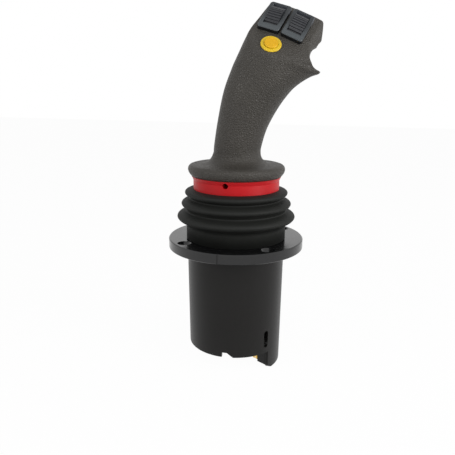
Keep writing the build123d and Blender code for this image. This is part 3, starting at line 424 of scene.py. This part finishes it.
def face_place(u, v):
    """Frame of a spot on the crowned thumb face: across, up and out, then the spot, in millimetres."""
    turn = u / crown_radius
    across = lean_x * cos(turn) - face_normal * sin(turn)
    out = face_normal * cos(turn) + lean_x * sin(turn)
    spot = face_low + face_up * v + (out - face_normal) * crown_radius
    return Matrix((across, face_up, out)).transposed().to_4x4(), spot


# Openings: two for the switch frames, one for the button, and four rear bores for the grip screws,
# each bore with its place and the depth of its seat. The cutters stand clear of the surface.
frame_across, frame_along = 8.7, 32.5
opening_width, opening_length, opening_depth, opening_clear = 13.4, 26.3, 11, 5
button_across, button_along, button_bore, button_well, button_clear = -1.4, 8.4, 6.7, 15, 5
screw_bore, bore_length = 3.2, 37
screw_bores = ((-11.5, 68.5, 5.8), (11.5, 68.5, 5.8), (6.8, 101.5, 11.6), (19.5, 127.5, 16.17))
form = bmesh.new()
for u in (-frame_across, frame_across):
    turned, spot = face_place(u, frame_along)
    middle = Matrix.Translation((0, 0, (opening_clear - opening_depth) / 2 * mm))
    size = [side * mm for side in (opening_width, opening_length, opening_clear + opening_depth)]
    placed = Matrix.Translation(spot * mm) @ turned @ middle @ Matrix.Diagonal((*size, 1))
    bmesh.ops.create_cube(form, size=1, matrix=placed)
turned, spot = face_place(button_across, button_along)
middle = Matrix.Translation((0, 0, (button_clear - button_well) / 2 * mm))
bmesh.ops.create_cone(form, cap_ends=True, segments=48, radius1=button_bore * mm, radius2=button_bore * mm,
                      depth=(button_well + button_clear) * mm,
                      matrix=Matrix.Translation(spot * mm) @ turned @ middle)
for x, z, seat in screw_bores:
    middle = Matrix.Translation((x * mm, (seat + bore_length / 2) * mm, z * mm))
    placed = middle @ Matrix.Rotation(pi / 2, 4, "X")
    bmesh.ops.create_cone(form, cap_ends=True, segments=32, radius1=screw_bore * mm,
                          radius2=screw_bore * mm,
                          depth=bore_length * mm, matrix=placed)
cutter_mesh = bpy.data.meshes.new("grip_openings")
form.to_mesh(cutter_mesh)
form.free()
cutter = bpy.data.objects.new("grip_openings", cutter_mesh)
bpy.context.scene.collection.objects.link(cutter)
opened = grip.modifiers.new("openings", "BOOLEAN")
opened.operation = "DIFFERENCE"
opened.solver = "EXACT"
opened.object = cutter
grip_mesh = bpy.data.meshes.new_from_object(grip.evaluated_get(bpy.context.evaluated_depsgraph_get()))
grip.modifiers.clear()
grip.data = grip_mesh
bpy.data.objects.remove(cutter)
grip_mesh.polygons.foreach_set("use_smooth", [True] * len(grip_mesh.polygons))
grip_mesh.set_sharp_from_angle(angle=grip_crease)

# Soft-touch polyurethane: warm dark grey and dull, with a leather grain of about 1.7 mm from the mould,
# shinier on its crests. A fine shadow line marks where the two shells meet.
seam_normal, seam_place = (0, 0.9849, -0.1731), -9.59
grip_finish, tree, place = begin("soft_touch_polyurethane")
bent = add(tree, "ShaderNodeTexNoise", {"Vector": place, "Scale": per_metre(2.2), "Detail": 2.0})
swayed = add(tree, "ShaderNodeVectorMath", {0: bent.outputs["Color"], 1: (0.9 * mm, 0.9 * mm, 0.9 * mm),
                                            2: place}, operation="MULTIPLY_ADD")
leather = add(tree, "ShaderNodeTexVoronoi", {"Vector": swayed.outputs[0], "Scale": per_metre(1.7)},
              feature="DISTANCE_TO_EDGE")
pebble = add(tree, "ShaderNodeMapRange", {"Value": leather.outputs["Distance"], "From Min": 0.0,
                                          "From Max": 0.28}, interpolation_type="SMOOTHSTEP")
fine = add(tree, "ShaderNodeTexNoise", {"Vector": place, "Scale": per_metre(0.9), "Detail": 3.0})
patches = add(tree, "ShaderNodeTexNoise", {"Vector": place, "Scale": per_metre(24), "Detail": 3.0})
relief = add(tree, "ShaderNodeMath", {0: fine.outputs["Fac"], 1: 0.6, 2: pebble.outputs[0]},
             operation="MULTIPLY_ADD")
across_seam = add(tree, "ShaderNodeVectorMath", {0: place, 1: seam_normal}, operation="DOT_PRODUCT")
from_seam = add(tree, "ShaderNodeMath", {0: across_seam.outputs["Value"], 1: seam_place * mm},
                operation="SUBTRACT")
seam_gap = add(tree, "ShaderNodeMath", {0: from_seam.outputs[0]}, operation="ABSOLUTE")
seam_line = add(tree, "ShaderNodeMapRange", {"Value": seam_gap.outputs[0], "From Min": 0.1 * mm,
                                             "From Max": 0.3 * mm,
                                             "To Min": 0.35, "To Max": 1.0})
tone = add(tree, "ShaderNodeMix", {"Factor": patches.outputs["Fac"], "A": linear("#2c2925"),
                                   "B": linear("#36332e")}, data_type="RGBA")
lined = add(tree, "ShaderNodeVectorMath", {0: tone.outputs["Result"], "Scale": seam_line.outputs[0]},
            operation="SCALE")
gloss = add(tree, "ShaderNodeMapRange", {"Value": pebble.outputs[0], "To Min": 0.6, "To Max": 0.42})
skin = add(tree, "ShaderNodeBump", {"Height": relief.outputs[0], "Distance": 0.24 * mm})
shader = add(tree, "ShaderNodeBsdfPrincipled", {"Base Color": lined.outputs[0],
                                                "Roughness": gloss.outputs[0],
                                                "Specular IOR Level": 0.32, "Normal": skin.outputs[0]})
add(tree, "ShaderNodeOutputMaterial", {"Surface": shader.outputs[0]})
dress(grip_finish, "grip_front_shell", "grip_rear_shell")
grip_mesh.materials.clear()
grip_mesh.materials.append(grip_finish)
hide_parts("grip_front_shell", "grip_rear_shell")
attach(grip, "lever")

# Switch frames: two slate-grey nylon bezels that snap into the thumb face and carry the axles.

# Slate nylon: satin with a faint mottling. Painted shade darkens the top above the low lip, walls
# facing away from the thumb face are painted near-black as shade, and painted light lifts the far inner
# wall.
face_foot = face_low.dot(face_up)
# Painted shade: between these heights above the face's foot the frame top blends to a darker grey, so the
# low lip stays paler.
top_shade_low, top_shade_high = 19, 34
# Painted light: above these heights the far inner wall of each window blends to a paler grey.
wall_light_low, wall_light_high = 38, 41
frame_finish, tree, place = begin("slate_nylon")
mottle = add(tree, "ShaderNodeTexNoise", {"Vector": place, "Scale": per_metre(1.0), "Detail": 4.0})
tone = add(tree, "ShaderNodeMix", {"Factor": mottle.outputs["Fac"], "A": linear("#3b4043"),
                                   "B": linear("#454a4d")}, data_type="RGBA")
outward = add(tree, "ShaderNodeTexCoord").outputs["Normal"]
# Surfaces facing away from the thumb face take the painted wall shade in place of the slate tone.
facing = add(tree, "ShaderNodeVectorMath", {0: outward, 1: face_normal}, operation="DOT_PRODUCT")
flat = add(tree, "ShaderNodeMapRange", {"Value": facing.outputs["Value"], "From Min": 0.45,
                                        "From Max": 0.8})
height = add(tree, "ShaderNodeVectorMath", {0: place, 1: face_up}, operation="DOT_PRODUCT")
wall_light_mask = add(tree, "ShaderNodeMapRange", {"Value": height.outputs["Value"],
                                         "From Min": (face_foot + wall_light_low) * mm,
                                         "From Max": (face_foot + wall_light_high) * mm})
# Painted shade mask: 0 at the low lip, rising to 1 over the upper part of the frame top.
top_shade_mask = add(tree, "ShaderNodeMapRange", {"Value": height.outputs["Value"],
                                          "From Min": (face_foot + top_shade_low) * mm,
                                          "From Max": (face_foot + top_shade_high) * mm})
top_with_painted_shade = add(tree, "ShaderNodeMix", {"Factor": top_shade_mask.outputs[0], "A": tone.outputs["Result"],
                                   "B": linear("#24272a")}, data_type="RGBA")
# Painted shade on the walls (near-black), blending to painted light (pale grey) on the far inner wall.
wall = add(tree, "ShaderNodeMix", {"Factor": wall_light_mask.outputs[0], "A": linear("#0e0f11"),
                                   "B": linear("#5a5d63")}, data_type="RGBA")
shaded = add(tree, "ShaderNodeMix", {"Factor": flat.outputs[0], "A": wall.outputs["Result"],
                                     "B": top_with_painted_shade.outputs["Result"]}, data_type="RGBA")
shader = add(tree, "ShaderNodeBsdfPrincipled", {"Base Color": shaded.outputs["Result"], "Roughness": 0.42,
                                                "Specular IOR Level": 0.35})
add(tree, "ShaderNodeOutputMaterial", {"Surface": shader.outputs[0]})
dress(frame_finish, "left_switch_frame", "right_switch_frame")

# Thumb rollers: black drums on axles in the frames, turned by the thumb and sprung to the middle.
# Seven bars lie across each drum below a smooth band, and a node tree sets them out by their angle.

# Black acetal: slippery and close to black, with a waxy gloss on the crest of each rib.
roller_finish, tree, place = begin("black_acetal")
wax = add(tree, "ShaderNodeTexNoise", {"Vector": place, "Scale": per_metre(2.0), "Detail": 3.0})
gloss = add(tree, "ShaderNodeMapRange", {"Value": wax.outputs["Fac"], "To Min": 0.4, "To Max": 0.5})
shader = add(tree, "ShaderNodeBsdfPrincipled", {"Base Color": linear("#222327"),
                                                "Roughness": gloss.outputs[0],
                                                "Specular IOR Level": 0.35})
add(tree, "ShaderNodeOutputMaterial", {"Surface": shader.outputs[0]})
dress(roller_finish, "left_thumb_roller", "right_thumb_roller")

roller_half, roller_reach, hub_radius, hub_step = 5.05, 52, 3.0, 8
rib_floor, band_radius, band_start = 12.3, 13.0, 19
axle_rise, axle_depth = 1.4, 7.6
roller_crease = radians(30)
ribs = bpy.data.node_groups.new("roller_ribs", "GeometryNodeTree")
ribs.interface.new_socket("Geometry", in_out="INPUT", socket_type="NodeSocketGeometry")
rib_sizes = {"rib_count": ("NodeSocketInt", 7), "rib_step": ("NodeSocketFloat", radians(10)),
             "first_rib": ("NodeSocketFloat", radians(-47)),
             "rib_circle": ("NodeSocketFloat", rib_floor * mm),
             "rib_radius": ("NodeSocketFloat", 0.7 * mm),
             "rib_length": ("NodeSocketFloat", 2 * roller_half * mm)}
rib_sockets = {name: ribs.interface.new_socket(name, in_out="INPUT", socket_type=kind).identifier
               for name, (kind, value) in rib_sizes.items()}
ribs.interface.new_socket("Geometry", in_out="OUTPUT", socket_type="NodeSocketGeometry")
given = add(ribs, "NodeGroupInput").outputs
order = add(ribs, "GeometryNodeInputIndex")
angle = add(ribs, "ShaderNodeMath", {0: order.outputs[0], 1: given["rib_step"], 2: given["first_rib"]},
            operation="MULTIPLY_ADD").outputs[0]
legs = []
for kind in ("SINE", "COSINE"):
    leg = add(ribs, "ShaderNodeMath", {0: angle}, operation=kind)
    legs.append(add(ribs, "ShaderNodeMath", {0: leg.outputs[0], 1: given["rib_circle"]},
                    operation="MULTIPLY"))
spots = add(ribs, "ShaderNodeCombineXYZ", {"X": legs[0].outputs[0], "Y": legs[1].outputs[0]})
points = add(ribs, "GeometryNodePoints", {"Count": given["rib_count"], "Position": spots.outputs[0]})
bar = add(ribs, "GeometryNodeMeshCylinder", {"Vertices": 20, "Radius": given["rib_radius"],
                                             "Depth": given["rib_length"]})
bars = add(ribs, "GeometryNodeInstanceOnPoints", {"Points": points.outputs[0],
                                                  "Instance": bar.outputs["Mesh"]})
joined = add(ribs, "GeometryNodeJoinGeometry", {"Geometry": bars.outputs[0]})
ribs.links.new(given["Geometry"], joined.inputs["Geometry"])
real = add(ribs, "GeometryNodeRealizeInstances", {"Geometry": joined.outputs[0]})
coated = add(ribs, "GeometryNodeSetMaterial", {"Geometry": real.outputs[0], "Material": roller_finish})
add(ribs, "NodeGroupOutput", {"Geometry": coated.outputs[0]})

for name, body, u in (("left_drum", "left_roller", -frame_across),
                      ("right_drum", "right_roller", frame_across)):
    rim = [(radians(turn), rib_floor if turn < band_start else band_radius)
           for turn in range(-roller_reach, roller_reach + 1)]
    rim += [(radians(turn), hub_radius) for turn in range(roller_reach, 360 - roller_reach, hub_step)]
    form = bmesh.new()
    ends = [[form.verts.new((r * sin(a) * mm, r * cos(a) * mm, end * roller_half * mm)) for a, r in rim]
            for end in (-1, 1)]
    form.faces.new(ends[0])
    form.faces.new(ends[1][::-1])
    for k in range(len(rim)):
        form.faces.new((ends[0][k], ends[1][k], ends[1][(k + 1) % len(rim)], ends[0][(k + 1) % len(rim)]))
    bmesh.ops.recalc_face_normals(form, faces=form.faces)
    mesh = bpy.data.meshes.new(name)
    form.to_mesh(mesh)
    form.free()
    drum = bpy.data.objects.new(name, mesh)
    bpy.context.scene.collection.objects.link(drum)
    ribbed = drum.modifiers.new("ribs", "NODES")
    ribbed.node_group = ribs
    for key, socket in rib_sockets.items():
        ribbed[socket] = rib_sizes[key][1]
    mesh = bpy.data.meshes.new_from_object(drum.evaluated_get(bpy.context.evaluated_depsgraph_get()))
    drum.modifiers.clear()
    drum.data = mesh
    turned, spot = face_place(u, frame_along)
    axle = spot + turned.to_3x3() @ Vector((0, axle_rise, -axle_depth))
    across, up, out = turned.to_3x3().transposed()
    mesh.transform(Matrix.Translation(axle * mm) @ Matrix((up, out, across)).transposed().to_4x4())
    mesh.polygons.foreach_set("use_smooth", [True] * len(mesh.polygons))
    mesh.set_sharp_from_angle(angle=roller_crease)
    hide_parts(body.replace("_roller", "_thumb_roller"))
    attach(drum, body)

# Thumb button: a yellow cap that moves in a fixed yellow ring, both moulded in polycarbonate.

# Yellow polycarbonate: glossy, orange on the cap and paler on the ring, where the wall is thin.
cap_edge, ring_edge = 4.7, 5.1
button_finish, tree, place = begin("yellow_polycarbonate")
swirl = add(tree, "ShaderNodeTexNoise", {"Vector": place, "Scale": per_metre(5), "Detail": 2.0})
turned, spot = face_place(button_across, button_along)
from_centre = add(tree, "ShaderNodeVectorMath", {0: place, 1: spot * mm}, operation="SUBTRACT")
aside = add(tree, "ShaderNodeVectorMath", {0: from_centre.outputs[0], 1: turned.to_3x3().col[2]},
            operation="CROSS_PRODUCT")
reach = add(tree, "ShaderNodeVectorMath", {0: aside.outputs[0]}, operation="LENGTH")
rim = add(tree, "ShaderNodeMapRange", {"Value": reach.outputs["Value"], "From Min": cap_edge * mm,
                                       "From Max": ring_edge * mm})
cap_tone = add(tree, "ShaderNodeMix", {"Factor": swirl.outputs["Fac"], "A": linear("#c6960c"),
                                       "B": linear("#cc9d12")}, data_type="RGBA")
tone = add(tree, "ShaderNodeMix", {"Factor": rim.outputs[0], "A": cap_tone.outputs["Result"],
                                   "B": linear("#c8a822")}, data_type="RGBA")
shader = add(tree, "ShaderNodeBsdfPrincipled", {"Base Color": tone.outputs["Result"], "Roughness": 0.36,
                                                "Specular IOR Level": 0.3})
add(tree, "ShaderNodeOutputMaterial", {"Surface": shader.outputs[0]})
dress(button_finish, "thumb_button_ring", "thumb_button_cap")

# Studio: a pale seamless floor, a soft white surround and three large soft lamps. The camera and
# mirroring surfaces see the white, while the light on the object stays at a plain level.
floor_drop = 0.5 * mm
floor_half = 3.0
paper_glow = 0.97
world_light = 0.22
mesh = bpy.data.meshes.new("studio_floor")
low = cad_box[0].z - floor_drop
corners = [(x * floor_half, y * floor_half, low) for x, y in ((-1, -1), (1, -1), (1, 1), (-1, 1))]
mesh.from_pydata(corners, [], [(0, 1, 2, 3)])
floor = bpy.data.objects.new("studio_floor", mesh)
bpy.context.scene.collection.objects.link(floor)
paper, tree, place = begin("white_paper")
fibre = add(tree, "ShaderNodeTexNoise", {"Vector": place, "Scale": per_metre(3), "Detail": 2.0})
white = add(tree, "ShaderNodeMix", {"Factor": fibre.outputs["Fac"], "A": linear("#f3f3f3"),
                                    "B": linear("#f7f7f7")}, data_type="RGBA")
matte = add(tree, "ShaderNodeBsdfDiffuse", {"Color": white.outputs["Result"]})
glow = add(tree, "ShaderNodeEmission", {"Color": linear("#ffffff"), "Strength": 1.0})
path = add(tree, "ShaderNodeLightPath")
seen = add(tree, "ShaderNodeMath", {0: path.outputs["Is Camera Ray"], 1: path.outputs["Is Glossy Ray"]},
           operation="MAXIMUM")
share = add(tree, "ShaderNodeMath", {0: seen.outputs[0], 1: paper_glow}, operation="MULTIPLY")
mix = add(tree, "ShaderNodeMixShader", {0: share.outputs[0], 1: matte.outputs[0], 2: glow.outputs[0]})
add(tree, "ShaderNodeOutputMaterial", {"Surface": mix.outputs[0]})
mesh.materials.append(paper)

world = bpy.data.worlds.new("studio")
world.use_nodes = True
world.node_tree.nodes.clear()
tree = world.node_tree
path = add(tree, "ShaderNodeLightPath")
seen = add(tree, "ShaderNodeMath", {0: path.outputs["Is Camera Ray"], 1: path.outputs["Is Glossy Ray"]},
           operation="MAXIMUM")
seen = add(tree, "ShaderNodeMath", {0: seen.outputs[0], 1: path.outputs["Is Transmission Ray"]},
           operation="MAXIMUM")
level = add(tree, "ShaderNodeMapRange", {"Value": seen.outputs[0], "To Min": world_light, "To Max": 1.0})
sky = add(tree, "ShaderNodeBackground", {"Color": linear("#ffffff"), "Strength": level.outputs[0]})
add(tree, "ShaderNodeOutputWorld", {"Surface": sky.outputs[0]})
bpy.context.scene.world = world


def softbox(name, place, target, size, power):
    """Large square lamp that looks at a point."""
    data = bpy.data.lights.new(name, "AREA")
    data.size = size
    data.energy = power
    lamp = bpy.data.objects.new(name, data)
    lamp.location = place
    lamp.rotation_euler = (Vector(target) - Vector(place)).to_track_quat("-Z", "Y").to_euler()
    bpy.context.scene.collection.objects.link(lamp)


softbox("key", (-0.75, -0.8, 0.45), (0, 0, 0.08), 0.45, 4.5)
softbox("front", (0.35, -0.9, 0.8), (0, 0, 0.05), 0.7, 6.0)
softbox("fill", (0.95, -0.3, 0.3), (0, 0, 0.08), 0.5, 8.0)

# Camera: a short tele lens in front and a little to the right, looking down, as fitted to the rings.
view_turn = radians(14.0)
view_pitch = radians(14.74)
view_roll = 0.0105
view_distance = 400.6 * mm
view_height = 119.1 * mm
across = Vector((cos(view_turn), sin(view_turn), 0))
away = Vector((-sin(view_turn), cos(view_turn), 0))
forward = away * cos(view_pitch) - Vector((0, 0, sin(view_pitch)))
upward = across.cross(forward)
side = across * cos(view_roll) + upward * sin(view_roll)
top = upward * cos(view_roll) - across * sin(view_roll)
camera = bpy.data.objects.new("camera", bpy.data.cameras.new("camera"))
camera.data.lens = 41.56
camera.data.sensor_width = 36.0
camera.data.shift_x = -0.0185
turn = Matrix((side, top, -forward)).transposed().to_4x4()
camera.matrix_world = Matrix.Translation(-away * view_distance + Vector((0, 0, view_height))) @ turn
bpy.context.scene.collection.objects.link(camera)
bpy.context.scene.camera = camera
bpy.context.scene.view_settings.view_transform = "Standard"
